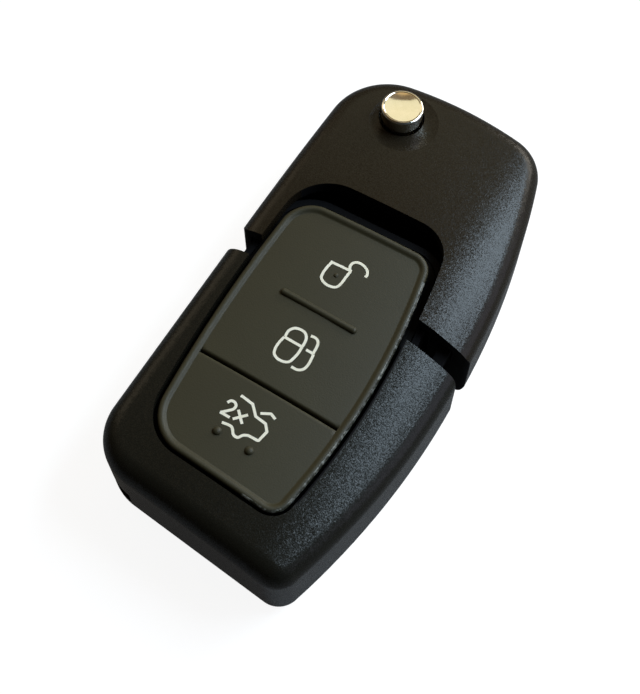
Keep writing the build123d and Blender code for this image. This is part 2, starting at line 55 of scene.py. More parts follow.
# Keypad, in millimetres
PAD_LEFT = -12.6
PAD_RIGHT = 8.85
PAD_TOP_Y = 10.3
PAD_TOP_SLOPE = 2.7
PAD_BOTTOM_Y = -26.3
PAD_BOTTOM_SLOPE = 3.2
PAD_CORNERS = {"top_left": 4.2, "top_right": 2.6, "bottom_right": 2.4, "bottom_left": 5.6}
RIGHT_ARC = {"radius": 90.0, "centre": (PAD_RIGHT - 90.0, -10.7)}
LEFT_ARC = {"radius": 180.0, "centre": (PAD_LEFT + 180.0, -4.0)}
PAD_SINK = 0.25
RIM_WIDTH = 1.1
RIM_HEIGHT = 0.3
FLANGE_REACH = 0.9
PAD_FLOOR = 10.9
FLANGE_HEIGHT = 0.7
KEY_BOTTOM = 11.7
RIB = {"x": -1.95, "y": -2.4, "length": 10.6, "width": 0.9, "height": 0.46, "web": 1.6}
GROOVE_Y = -13.9
GROOVE_WIDTH = 0.3
NUB_RADIUS = 1.5
NUB_DROP = 1.3
NUB_OVERLAP = 0.05
NUBS = {"unlock_key": (-1.5, 6.0), "lock_key": (-1.5, -8.5), "boot_key": (-1.5, -19.5)}

# Places where a material changes, in millimetres: the roll of the case beside the keypad and the
# gap round the rubber, both darkened with painted shade, and the lip of the cap by its distance
# from the axis
OPENING_ROLL = 0.8
ROLL_FADE = 0.15
ROLL_SHADE_RISE = (1.6, 2.6)
GAP_PAINTED_SHADE_TO_CLEAR = (12.6, 13.0)
CAP_LIP = (2.26, 2.44)

# Walls of the plastic inside the joint, without grain and darkened with painted shade;
# a face counts as turned to the tail past this normal
TURNED_TO_TAIL = -0.45
PAINTED_SHADE_COLOUR = (0.0012, 0.0012, 0.0018, 1)
PLAIN_WALL_ROUGHNESS = 0.92

# Worn part of the keypad's rim that carries a painted highlight, and how far under its top
# the skirt in painted shade starts, in millimetres
WORN_LIT_TO, WORN_LIT_BELOW, WORN_LIT_RIGHT_OF, WORN_LIT_UP_TO = 0.22, 0.3, 2.5, 7.5
SKIRT_BELOW = 0.45


def circle_through(a, b, c):
    """Centre and radius of the circle through three points."""
    d = 2 * (a[0] * (b[1] - c[1]) + b[0] * (c[1] - a[1]) + c[0] * (a[1] - b[1]))
    aa, bb, cc = (p[0] ** 2 + p[1] ** 2 for p in (a, b, c))
    x = (aa * (b[1] - c[1]) + bb * (c[1] - a[1]) + cc * (a[1] - b[1])) / d
    y = (aa * (c[0] - b[0]) + bb * (a[0] - c[0]) + cc * (b[0] - a[0])) / d
    return x, y, math.hypot(a[0] - x, a[1] - y)


CROWN = circle_through(CROWN_EDGE, CROWN_PEAK, ROLL_START)
ROLL_NORMAL = ((ROLL_START[0] - CROWN[0]) / CROWN[2], (ROLL_START[1] - CROWN[1]) / CROWN[2])
ROLL_CENTRE = (
    ROLL_START[0] - ROLL_RADIUS * ROLL_NORMAL[0],
    ROLL_START[1] - ROLL_RADIUS * ROLL_NORMAL[1],
)


def front_height(x):
    """Height of the crowned front face at this place across the fob."""
    (centre_x, centre_y), radius = CROWN[:2], CROWN[2]
    if x > ROLL_START[0]:
        (centre_x, centre_y), radius = ROLL_CENTRE, ROLL_RADIUS
    return BODY_THICKNESS + centre_y + math.sqrt(radius ** 2 - (x - centre_x) ** 2)


def rim_height(x):
    return front_height(x) - PAD_SINK


def field_height(x):
    return rim_height(x) - RIM_HEIGHT


# Meshes

WELD_DISTANCE = 0.000002


def piece_with(name, mesh, material, body, smooth_angle=40.0):
    """A piece with this mesh, smooth where its faces meet softly, riding on a body."""
    piece = bpy.data.objects.new(name, mesh)
    bpy.context.scene.collection.objects.link(piece)
    shape = bmesh.new()
    shape.from_mesh(mesh)
    bmesh.ops.remove_doubles(shape, verts=shape.verts, dist=WELD_DISTANCE)
    bmesh.ops.recalc_face_normals(shape, faces=shape.faces)
    shape.to_mesh(mesh)
    shape.free()
    if not mesh.materials:
        mesh.materials.append(material)
    mesh.shade_smooth()
    mesh.set_sharp_from_angle(angle=math.radians(smooth_angle))
    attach(piece, body)
    return piece


def piece_from(name, verts, faces, material, body, slot_name):
    """A piece from points in millimetres and the faces between them."""
    mesh = bpy.data.meshes.new(name)
    mesh.from_pydata([(x * MM, y * MM, z * MM) for x, y, z in verts], [], faces)
    return piece_with(name, mesh, material, body)


def stacked_rings(rings, top_fan=True, bottom_fan=True):
    """Verts and faces of a skin over rings of equal count, listed from the bottom up."""
    count = len(rings[0])
    verts = [p for ring in rings for p in ring]
    faces = []
    for level in range(len(rings) - 1):
        low = level * count
        for i in range(count):
            j = (i + 1) % count
            faces.append((low + i, low + j, low + count + j, low + count + i))
    top_start = (len(rings) - 1) * count
    for wanted, start, turn in ((bottom_fan, 0, True), (top_fan, top_start, False)):
        if not wanted:
            continue
        ring = verts[start:start + count]
        hub = len(verts)
        verts.append(tuple(sum(p[k] for p in ring) / count for k in range(3)))
        for i in range(count):
            j = (i + 1) % count
            faces.append((start + j, start + i, hub) if turn else (start + i, start + j, hub))
    return verts, faces


def joined(*shapes):
    """Several (verts, faces) shapes as one."""
    verts, faces = [], []
    for more_verts, more_faces in shapes:
        base = len(verts)
        verts.extend(more_verts)
        faces.extend(tuple(base + i for i in face) for face in more_faces)
    return verts, faces


# Keypad outline: two straight ends, two long arcs and four rounded corners


def line_inside(side, inset):
    """The same line, this far inside the outline that it is drawn round."""
    point, along = side
    return (point[0] - along[1] * inset, point[1] + along[0] * inset), along


def line_meets_arc(line, arc, inset, side):
    """Where a line meets an arc drawn in by the inset, on the arc's left (-1) or right (+1)."""
    (px, py), (dx, dy) = line
    cx, cy = arc["centre"]
    ox, oy = px - cx, py - cy
    b = ox * dx + oy * dy
    root = math.sqrt(b * b - (ox * ox + oy * oy - (arc["radius"] - inset) ** 2))
    t = max(-b + root, -b - root, key=lambda s: side * (px + dx * s))
    return px + dx * t, py + dy * t


def direction(degrees):
    return math.cos(math.radians(degrees)), math.sin(math.radians(degrees))


def bearing(centre, point):
    """Angle from a centre to a point, counted from 0 to 360."""
    return math.degrees(math.atan2(point[1] - centre[1], point[0] - centre[0])) % 360


def stepped_out(centre, distance, degrees):
    """The place this far from a centre, in this direction."""
    way = direction(degrees)
    return centre[0] + distance * way[0], centre[1] + distance * way[1]


def along_arc(centre, radius, start, end, steps):
    return [
        stepped_out(centre, radius, start + (end - start) * step / steps) for step in range(steps)
    ]


def along_line(start, end, steps):
    return [
        tuple(a + (b - a) * step / steps for a, b in zip(start, end)) for step in range(steps)
    ]


LOWER_END = ((0.0, PAD_BOTTOM_Y), direction(-PAD_BOTTOM_SLOPE))
UPPER_END = ((0.0, PAD_TOP_Y), direction(180 + PAD_TOP_SLOPE))


def corner_centre(end, arc, side, radius):
    return line_meets_arc(line_inside(end, radius), arc, radius, side)


LOWER_LEFT = corner_centre(LOWER_END, LEFT_ARC, -1, PAD_CORNERS["bottom_left"])
LOWER_RIGHT = corner_centre(LOWER_END, RIGHT_ARC, 1, PAD_CORNERS["bottom_right"])
UPPER_RIGHT = corner_centre(UPPER_END, RIGHT_ARC, 1, PAD_CORNERS["top_right"])
UPPER_LEFT = corner_centre(UPPER_END, LEFT_ARC, -1, PAD_CORNERS["top_left"])


def pad_ring(inset, corner_steps=22, side_steps=34, least=0.25):
    """Points round the keypad, this far inside its outline, the same count for any inset."""
    turn = {corner: max(radius - inset, least) for corner, radius in PAD_CORNERS.items()}
    lower_way, upper_way = 270.0 - PAD_BOTTOM_SLOPE, 90.0 + PAD_TOP_SLOPE
    left_low, left_high = (bearing(LEFT_ARC["centre"], p) for p in (LOWER_LEFT, UPPER_LEFT))
    right_low, right_high = (bearing(RIGHT_ARC["centre"], p) for p in (LOWER_RIGHT, UPPER_RIGHT))
    right_low -= 360
    ring = along_arc(LOWER_LEFT, turn["bottom_left"], left_low, lower_way, corner_steps)
    ring += along_line(
        stepped_out(LOWER_LEFT, turn["bottom_left"], lower_way),
        stepped_out(LOWER_RIGHT, turn["bottom_right"], lower_way),
        side_steps,
    )
    ring += along_arc(LOWER_RIGHT, turn["bottom_right"], lower_way - 360, right_low, corner_steps)
    ring += along_arc(
        RIGHT_ARC["centre"], RIGHT_ARC["radius"] - inset, right_low, right_high, side_steps
    )
    ring += along_arc(UPPER_RIGHT, turn["top_right"], right_high, upper_way, corner_steps)
    ring += along_line(
        stepped_out(UPPER_RIGHT, turn["top_right"], upper_way),
        stepped_out(UPPER_LEFT, turn["top_left"], upper_way),
        side_steps,
    )
    ring += along_arc(UPPER_LEFT, turn["top_left"], upper_way, left_high, corner_steps)
    ring += along_arc(
        LEFT_ARC["centre"], LEFT_ARC["radius"] - inset, left_high, left_low, side_steps
    )
    return ring


def at_height(ring, height):
    """A flat ring lifted to a height, or to one that depends on the place across the fob."""
    if callable(height):
        return [(x, y, height(x)) for x, y in ring]
    return [(x, y, height) for x, y in ring]


def clipped(ring, y_limit, keep_above):
    """A convex ring cut along a line across the fob."""
    kept = []
    for (ax, ay), (bx, by) in zip(ring, ring[1:] + ring[:1]):
        a_in = ay >= y_limit if keep_above else ay <= y_limit
        b_in = by >= y_limit if keep_above else by <= y_limit
        if a_in:
            kept.append((ax, ay))
        if a_in != b_in:
            share = (y_limit - ay) / (by - ay)
            kept.append((ax + (bx - ax) * share, y_limit))
    return kept


def evenly(ring, spacing):
    """The same closed ring with points added along its long stretches."""
    full = []
    for (ax, ay), (bx, by) in zip(ring, ring[1:] + ring[:1]):
        steps = max(1, math.ceil(math.hypot(bx - ax, by - ay) / spacing))
        full.extend(along_line((ax, ay), (bx, by), steps))
    return full


# Steps of node trees


def set_inputs(tree, node, inputs):
    """Each input linked to a socket, or set to a plain value."""
    for label, value in inputs.items():
        if isinstance(value, bpy.types.NodeSocket):
            tree.links.new(value, node.inputs[label])
        else:
            node.inputs[label].default_value = value


def step_in(tree, kind, inputs, **settings):
    """The outputs of a new node, of the family that the tree is of."""
    node = tree.nodes.new(tree.bl_idname.removesuffix("Tree") + kind)
    for key, value in settings.items():
        setattr(node, key, value)
    set_inputs(tree, node, inputs)
    return node.outputs


def worked(tree, operation, *values):
    return step_in(tree, "Math", dict(enumerate(values)), operation=operation)["Value"]


def worked_on_vectors(tree, operation, *values, result="Vector"):
    return step_in(tree, "VectorMath", dict(enumerate(values)), operation=operation)[result]


# The sockets of a mix: first and second input, and result
MIX_SOCKETS = {"FLOAT": (2, 3, 0), "RGBA": (6, 7, 2), "VECTOR": (4, 5, 1)}


def mixed(tree, kind, factor, first, second, blend="MIX"):
    first_at, second_at, result_at = MIX_SOCKETS[kind]
    inputs = {0: factor, first_at: first, second_at: second}
    return step_in(tree, "Mix", inputs, data_type=kind, blend_type=blend)[result_at]


def spread_between(tree, source, low, high, low_at=0.0, high_at=1.0, **settings):
    """The source's stretch from low_at to high_at, spread from low to high."""
    inputs = {
        "Value": source, "From Min": low_at, "From Max": high_at, "To Min": low, "To Max": high,
    }
    return step_in(tree, "MapRange", inputs, **settings)["Result"]


def ramp_between(tree, source, low, high, low_at=0.3, high_at=0.7):
    """The colours from low to high, as the source rises from low_at to high_at."""
    ramp = tree.nodes.new("ShaderNodeValToRGB")
    places = zip(ramp.color_ramp.elements, (low_at, high_at), (low, high))
    for element, position, colour in places:
        element.position = position
        element.color = (*colour, 1)
    tree.links.new(source, ramp.inputs["Fac"])
    return ramp.outputs["Color"]


def bumped(tree, height, distance, strength):
    inputs = {"Height": height, "Distance": distance, "Strength": strength}
    return step_in(tree, "Bump", inputs)["Normal"]


# Places and patterns on the fob


def on_object(tree, which="Object"):
    return step_in(tree, "TexCoord", {})[which]


def part_of(tree, vector, axis):
    return step_in(tree, "SeparateXYZ", {"Vector": vector})[axis]


def distance_from(tree, x, y):
    """How far from this place a point lies, seen from above, in metres."""
    flat = worked_on_vectors(tree, "MULTIPLY", on_object(tree), (1, 1, 0))
    return worked_on_vectors(tree, "DISTANCE", flat, (x, y, 0), result="Value")


def noise(tree, scale, detail, roughness=0.5):
    """Noise on object coordinates, in features per metre: one number, or one for each axis."""
    place = on_object(tree)
    if isinstance(scale, tuple):
        place = step_in(tree, "Mapping", {"Vector": place, "Scale": scale})["Vector"]
        scale = 1.0
    inputs = {"Vector": place, "Scale": scale, "Detail": detail, "Roughness": roughness}
    return step_in(tree, "TexNoise", inputs)["Fac"]


def tilted_cells(tree, scale, tilt, under):
    """Normals tipped at random from cell to cell, as on a grained surface."""
    cells = step_in(tree, "TexVoronoi", {"Vector": on_object(tree), "Scale": scale})["Color"]
    tips = worked_on_vectors(tree, "SUBTRACT", cells, (0.5, 0.5, 0.5))
    tipped = worked_on_vectors(tree, "MULTIPLY_ADD", tips, (tilt, tilt, tilt), under)
    return worked_on_vectors(tree, "NORMALIZE", tipped)


def where_plain_and_shaded(tree, beyond_y, only_on_ends):
    """1 where there is no grain and painted shade: past this place along the fob, on faces or
    ends.
    """
    past = worked(tree, "GREATER_THAN", part_of(tree, on_object(tree), "Y"), beyond_y * MM)
    if not only_on_ends:
        return past
    turned = part_of(tree, on_object(tree, "Normal"), "Y")
    return worked(tree, "MULTIPLY", past, worked(tree, "LESS_THAN", turned, TURNED_TO_TAIL))


def painted_shade_beside_keypad(tree):
    """1 on the rolled edge beside the keypad's right side, which painted shade darkens."""
    edge = RIGHT_ARC["radius"] + OPENING_ROLL
    middle_x, middle_y = RIGHT_ARC["centre"]
    reach = distance_from(tree, middle_x * MM, middle_y * MM)
    near = spread_between(tree, reach, 0, 1, edge * MM, (edge - ROLL_FADE) * MM)
    starts, full = (PAD_BOTTOM_Y + rise for rise in ROLL_SHADE_RISE)
    along = part_of(tree, on_object(tree), "Y")
    above = spread_between(tree, along, 0, 1, starts * MM, full * MM)
    right = worked(tree, "GREATER_THAN", part_of(tree, on_object(tree), "X"), 0.0)
    return worked(tree, "MULTIPLY", worked(tree, "MULTIPLY", near, above), right)


# Materials


def new_material(name):
    material = bpy.data.materials.new(name)
    material.use_nodes = True
    tree = material.node_tree
    return material, tree, tree.nodes["Principled BSDF"]


def spark_grained_plastic(name, shades, plain_shaded_beyond, plain_shaded_only_on_ends=False):
    """Spark-eroded black plastic: fine pits that glint, and plain inner walls in painted shade."""
    material, tree, shader = new_material(name)
    # Painted shade: in the joint and on the roll beside the keypad the colour goes near black
    plain = where_plain_and_shaded(tree, plain_shaded_beyond, plain_shaded_only_on_ends)
    if not plain_shaded_only_on_ends:
        plain = worked(tree, "MAXIMUM", plain, painted_shade_beside_keypad(tree))
    pits = noise(tree, 6200, 1.0)
    pitted = spread_between(tree, pits, 0.21, 0.33)
    colour = ramp_between(tree, noise(tree, 60, 3.0), *shades)
    grain = tilted_cells(tree, 8600, 0.15, bumped(tree, pits, 0.00003, 0.5))
    even = step_in(tree, "NewGeometry", {})["Normal"]
    set_inputs(tree, shader, {
        "Base Color": mixed(tree, "RGBA", plain, colour, PAINTED_SHADE_COLOUR),
        "Roughness": mixed(tree, "FLOAT", plain, pitted, PLAIN_WALL_ROUGHNESS),
        "Normal": mixed(tree, "VECTOR", plain, grain, even),
        "Specular IOR Level": 0.20,
    })
    return material


def keypad_rubber():
    """Olive-grey silicone, dull and very finely textured, with painted shade down in the gap round
    it.
    """
    material, tree, shader = new_material("keypad_rubber")
    colour = ramp_between(
        tree, noise(tree, 120, 4.0), (0.0290, 0.0245, 0.0085), (0.0325, 0.0280, 0.0100)
    )
    # Painted shade: the rubber goes near black below the top of the gap round it
    dark, clear = (height * MM for height in GAP_PAINTED_SHADE_TO_CLEAR)
    depth = spread_between(tree, part_of(tree, on_object(tree), "Z"), 0, 1, dark, clear)
    skin = noise(tree, 5200, 2.0)
    set_inputs(tree, shader, {
        "Base Color": mixed(tree, "RGBA", depth, (0.004, 0.004, 0.004, 1), colour),
        "Roughness": spread_between(tree, skin, 0.50, 0.68),
        "Normal": bumped(tree, skin, 0.00003, 0.45),
        "Specular IOR Level": 0.45,
    })
    return material


def mottled(name, pattern, shades, roughness, relief=None, shade_at=(0.3, 0.7), constants=None):
    """A material whose colour, gloss and relief (depth and strength) follow one noise."""
    material, tree, shader = new_material(name)
    film = noise(tree, *pattern)
    set_inputs(tree, shader, {
        "Base Color": ramp_between(tree, film, *shades, *shade_at),
        "Roughness": spread_between(tree, film, *roughness),
        **(constants or {}),
    })
    if relief:
        set_inputs(tree, shader, {"Normal": bumped(tree, film, *relief)})
    return material


METAL = {"Metallic": 1.0}


def button_chrome():
    """Bright plating with a faintly warm tint, and the lip round the face of the cap."""
    shades = ((0.86, 0.83, 0.72), (0.90, 0.87, 0.78))
    material = mottled("button_chrome", (1400, 2.0), shades, (0.05, 0.10), constants=METAL)
    tree = material.node_tree
    low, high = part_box("release_button")
    reach = distance_from(tree, (low[0] + high[0]) / 2, (low[1] + high[1]) / 2)
    lip = spread_between(
        tree, reach, 0, 1, CAP_LIP[0] * MM, CAP_LIP[1] * MM, interpolation_type="SMOOTHSTEP"
    )
    shader = tree.nodes["Principled BSDF"]
    set_inputs(tree, shader, {"Normal": bumped(tree, lip, 0.00004, 1.0)})
    return material


HEAD_SHADES = ((0.0130, 0.0096, 0.0054), (0.0160, 0.0121, 0.0071))
REMOTE_SHADES = ((0.0090, 0.0084, 0.0057), (0.0112, 0.0105, 0.0075))
head_plastic = spark_grained_plastic("head_plastic", HEAD_SHADES, 1.0, True)
remote_plastic = spark_grained_plastic("remote_plastic", REMOTE_SHADES, 0.2)
rubber = keypad_rubber()

# The rubbed outer edge of the keypad, broken where it is torn, greyer with wear and with a
# painted highlight where light falls on its right side
rubber_edge = mottled(
    "worn_rubber_edge", (1500, 5.0, 0.7), ((0.032, 0.031, 0.020), (0.240, 0.240, 0.210)),
    (0.50, 0.36), shade_at=(0.47, 0.60),
)
# The skirt of the keypad, near black with the painted shade of the gap round it
skirt_painted_shade = mottled(
    "shadowed_rubber", (2200, 3.0), ((0.0010, 0.0010, 0.0010), (0.0030, 0.0028, 0.0024)),
    (0.60, 0.75), constants={"Specular IOR Level": 0.08},
)
# Cream ink of the printed signs, a little uneven where it has been rubbed
ink = mottled("sign_ink", (900, 3.0), ((0.90, 0.85, 0.68), (0.96, 0.91, 0.76)), (0.55, 0.55))
chrome = button_chrome()
# Nickel silver of the blade, with fine lines along its length
blade_steel = mottled(
    "milled_steel", ((9000, 160, 9000), 3.0), ((0.50, 0.48, 0.44), (0.66, 0.64, 0.59)),
    (0.24, 0.42), (0.00002, 0.3), constants=METAL,
)
zinc = mottled(
    "cast_zinc", (1800, 4.0), ((0.27, 0.27, 0.26), (0.36, 0.36, 0.35)),
    (0.42, 0.60), (0.00005, 0.4), constants=METAL,
)
plating = mottled(
    "plated_steel", (1100, 3.0), ((0.42, 0.42, 0.41), (0.55, 0.55, 0.54)),
    (0.25, 0.40), constants=METAL,
)
wire = mottled(
    "drawn_wire", (2600, 2.0), ((0.32, 0.32, 0.33), (0.44, 0.44, 0.45)),
    (0.22, 0.34), constants=METAL,
)

FINISHES = {
    "head_front_cover": head_plastic,
    "head_rear_cover": head_plastic,
    "remote_front_case": remote_plastic,
    "remote_rear_case": remote_plastic,
    "nose_screw": plating,
    "side_screw": plating,
    "spring_cup": plating,
    "hub_spring": wire,
    "blade_hub": zinc,
    "blade": blade_steel,
    "blade_roll_pin": plating,
    "lock_plunger": zinc,
    "release_button": chrome,
    "keypad_frame": rubber,
    "unlock_key": rubber,
    "lock_key": rubber,
    "boot_key": rubber,
}
for node, finish in FINISHES.items():
    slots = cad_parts[node].material_slots
    for place in slots:
        place.material = finish
    if not slots:
        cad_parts[node].data.materials.append(finish)

# Rubber rim with its flange, web and rib

# Section of the rim: how far in from the outline, and how far below the rim's top
RIM_PROFILE = (
    (0.0, 0.60),
    (0.0, 0.34),
    (0.05, 0.20),
    (0.14, 0.09),
    (0.27, 0.02),
    (0.42, 0.0),
    (0.56, 0.01),
    (0.70, 0.06),
    (0.82, 0.14),
    (0.92, 0.22),
    (1.01, 0.275),
    (RIM_WIDTH, RIM_HEIGHT),
)


def rubber_rim():
    rings = [
        at_height(pad_ring(RIM_WIDTH), PAD_FLOOR),
        at_height(pad_ring(-FLANGE_REACH), PAD_FLOOR),
        at_height(pad_ring(-FLANGE_REACH), PAD_FLOOR + FLANGE_HEIGHT),
        at_height(pad_ring(0.0), PAD_FLOOR + FLANGE_HEIGHT),
    ]
    for inset, drop in RIM_PROFILE:
        rings.append(at_height(pad_ring(inset), lambda x, drop=drop: rim_height(x) - drop))
    rings.append(at_height(pad_ring(RIM_WIDTH), PAD_FLOOR))
    return stacked_rings(rings, top_fan=False, bottom_fan=False)


# Rings of a crowned slab, as shares of its outline, closest where its edge turns down
SLAB_RINGS = (
    1.0, 0.992, 0.984, 0.974, 0.962, 0.945, 0.92, 0.88, 0.82, 0.74, 0.64, 0.52, 0.38, 0.22, 0.08,
)
SLAB_SPACING = 0.4


def crowned_slab(low_y, high_y, soft_edges=()):
    """The rubber field between two lines across the keypad, crowned like the case round it."""
    ring = pad_ring(RIM_WIDTH)
    if low_y is not None:
        ring = clipped(ring, low_y, True)
    if high_y is not None:
        ring = clipped(ring, high_y, False)
    ring = evenly(ring, SLAB_SPACING)
    middle_x, middle_y = (sum(p[k] for p in ring) / len(ring) for k in (0, 1))
    rings = [at_height(ring, KEY_BOTTOM)]
    for share in SLAB_RINGS:
        drawn_in = [
            (middle_x + (x - middle_x) * share, middle_y + (y - middle_y) * share) for x, y in ring
        ]
        rings.append(
            [(x, y, field_height(x) - soft_edge_drop(y, soft_edges)) for x, y in drawn_in]
        )
    return stacked_rings(rings)


def soft_edge_drop(y, edges, width=0.3, depth=0.22):
    """How far the rubber has rounded down near an edge that lies across the fob."""
    drop = 0.0
    for edge in edges:
        away = abs(y - edge)
        if away < width:
            drop = max(drop, depth * (1 - away / width) ** 2)
    return drop


def raised_rib(steps=14, levels=8, peak_share=0.02, sunk=0.02):
    """A half-round bar with rounded ends, standing on the web and sunk a little into it."""
    radius = RIB["width"] / 2
    half = RIB["length"] / 2 - radius
    rings = []
    for level in range(levels + 1):
        lean = math.radians(90 * level / levels)
        spread = radius * math.cos(lean) if level < levels else radius * peak_share
        lift = RIB["height"] * math.sin(lean) - sunk
        ring = []
        for side, shift in ((0, half), (180, -half)):
            centre = (RIB["x"] + shift, RIB["y"])
            for step in range(steps + 1):
                x, y = stepped_out(centre, spread, side - 90 + 180 * step / steps)
                ring.append((x, y, field_height(centre[0]) + lift))
        rings.append(ring)
    return stacked_rings(rings)


PAD_OUTLINE = pad_ring(0.0)
PAD_EDGES = tuple(zip(PAD_OUTLINE, PAD_OUTLINE[1:] + PAD_OUTLINE[:1]))


def rim_depth(x, y):
    """How far from the keypad's outline a point of the rim lies, in millimetres."""
    depths = []
    for (ax, ay), (bx, by) in PAD_EDGES:
        run_x, run_y = bx - ax, by - ay
        past_start = (x - ax) * run_x + (y - ay) * run_y >= 0
        before_end = (bx - x) * run_x + (by - y) * run_y >= 0
        if past_start and before_end:
            depths.append(abs((x - ax) * run_y - (y - ay) * run_x) / math.hypot(run_x, run_y))
    return min(depths)


WEB_LOW, WEB_HIGH = RIB["y"] - RIB["web"] / 2, RIB["y"] + RIB["web"] / 2
rim_shape = joined(rubber_rim(), crowned_slab(WEB_LOW, WEB_HIGH), raised_rib())
rim = piece_from("rubber_rim", *rim_shape, rubber, "remote", "keypad_rubber")
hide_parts("keypad_frame")
rim.data.materials.append(rubber_edge)
rim.data.materials.append(skirt_painted_shade)
# Faces low in the gap take the skirt's painted shade, and the worn edge on the right its painted
# highlight
for face in rim.data.polygons:
    x, y, z = face.center / MM
    if z < rim_height(x) - SKIRT_BELOW:
        face.material_index = 2
    elif x > WORN_LIT_RIGHT_OF and y < WORN_LIT_UP_TO and z > rim_height(x) - WORN_LIT_BELOW:
        if rim_depth(x, y) <= WORN_LIT_TO:
            face.material_index = 1

# Keys: the field inside the rim, cut where the groove and the web are


def key_nub(x, y, steps=28):
    """The round foot under a key, which would press its switch."""
    ring = [stepped_out((x, y), NUB_RADIUS, 360 * step / steps) for step in range(steps)]
    foot, top = KEY_BOTTOM - NUB_DROP, KEY_BOTTOM + NUB_OVERLAP
    return stacked_rings([at_height(ring, foot), at_height(ring, top)])


def rubber_key(name, low_y, high_y, soft_edges=()):
    shape = joined(crowned_slab(low_y, high_y, soft_edges), key_nub(*NUBS[name]))
    key = piece_from("rubber_" + name, *shape, rubber, name.split("_")[0], "keypad_rubber")
    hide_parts(name)
    return key


groove_low, groove_high = GROOVE_Y - GROOVE_WIDTH / 2, GROOVE_Y + GROOVE_WIDTH / 2
KEYS = {
    "unlock": rubber_key("unlock_key", WEB_HIGH, None),
    "lock": rubber_key("lock_key", groove_high, WEB_LOW, (groove_high,)),
    "boot": rubber_key("boot_key", None, groove_low, (groove_low,)),
}

# Trees that lay inked lines and raised dots on the face of a key

# How far over the case the points start, and how far down they look for the key
DROP_FROM = 2.0 * MM
DROP_LENGTH = 10.0 * MM


def new_maker(name, inputs):
    """A geometry node tree with these named inputs and one output."""
    tree = bpy.data.node_groups.new(name, "GeometryNodeTree")
    for label, kind, value in inputs:
        socket = tree.interface.new_socket(label, in_out="INPUT", socket_type="NodeSocket" + kind)
        if value is not None:
            socket.default_value = value
    tree.interface.new_socket("Result", in_out="OUTPUT", socket_type="NodeSocketGeometry")
    return tree, tree.nodes.new("NodeGroupInput").outputs


def finished_in(tree, geometry, material):
    """The end of a tree: realized and given its material."""
    whole = step_in(tree, "RealizeInstances", {"Geometry": geometry})["Geometry"]
    dressed = step_in(tree, "SetMaterial", {"Geometry": whole, "Material": material})["Geometry"]
    tree.links.new(dressed, tree.nodes.new("NodeGroupOutput").inputs["Result"])
    return tree


def dropped_on(tree, geometry, key_object):
    """The geometry's points moved straight down on the key's face."""
    face = step_in(tree, "ObjectInfo", {"Object": key_object})["Geometry"]
    hit = step_in(tree, "Raycast", {
        "Target Geometry": face, "Ray Direction": (0, 0, -1), "Ray Length": DROP_LENGTH,
    })["Hit Position"]
    return step_in(tree, "SetPosition", {"Geometry": geometry, "Position": hit})["Geometry"]


def inked_line_maker():
    """Flat lines along paths, curved where marked to flow and eased at the corners elsewhere."""
    tree, given = new_maker("inked_lines", (
        ("Paths", "Geometry", None),
        ("Key", "Object", None),
        ("Ink", "Material", None),
        ("Line Width", "Float", 0.34 * MM),
        ("Line Thickness", "Float", 0.05 * MM),
        ("Corner Radius", "Float", 0.1 * MM),
    ))
    paths = step_in(tree, "MeshToCurve", {"Mesh": given["Paths"]})["Curve"]
    flows = step_in(tree, "InputNamedAttribute", {"Name": "flows"}, data_type="BOOLEAN")
    split = step_in(
        tree, "SeparateGeometry", {"Geometry": paths, "Selection": flows["Attribute"]},
        domain="CURVE",
    )
    flowing = step_in(
        tree, "CurveSplineType", {"Curve": split["Selection"]}, spline_type="CATMULL_ROM"
    )["Curve"]
    fine = step_in(tree, "SetSplineResolution", {"Geometry": flowing, "Resolution": 8})
    curved = step_in(tree, "ResampleCurve", {"Curve": fine["Geometry"]}, mode="EVALUATED")
    eased = step_in(tree, "FilletCurve", {
        "Curve": split["Inverted"], "Count": 4, "Radius": given["Corner Radius"],
        "Limit Radius": True,
    }, mode="POLY")
    strokes = step_in(tree, "JoinGeometry", {"Geometry": curved["Curve"]})["Geometry"]
    tree.links.new(eased["Curve"], strokes.node.inputs["Geometry"])
    laid = dropped_on(tree, strokes, given["Key"])
    upright = step_in(tree, "SetCurveNormal", {"Curve": laid}, mode="Z_UP")["Curve"]
    nib = step_in(tree, "CurvePrimitiveQuadrilateral", {
        "Width": given["Line Width"], "Height": given["Line Thickness"],
    })["Curve"]
    lines = step_in(tree, "CurveToMesh", {
        "Curve": upright, "Profile Curve": nib, "Fill Caps": True,
    })["Mesh"]
    return finished_in(tree, lines, given["Ink"])


def raised_dot_maker():
    """Round dots of soft rubber at the points, each as large as its mark says."""
    tree, given = new_maker("raised_dots", (
        ("Places", "Geometry", None),
        ("Key", "Object", None),
        ("Rubber", "Material", None),
        ("Segments", "Int", 24),
    ))
    dot = step_in(tree, "MeshUVSphere", {
        "Segments": given["Segments"], "Rings": 16, "Radius": 1.0,
    })["Mesh"]
    size = step_in(tree, "InputNamedAttribute", {"Name": "dot_size"}, data_type="FLOAT_VECTOR")
    laid = dropped_on(tree, given["Places"], given["Key"])
    dots = step_in(tree, "InstanceOnPoints", {
        "Points": laid, "Instance": dot, "Scale": size["Attribute"],
    })["Instances"]
    return finished_in(tree, dots, given["Rubber"])


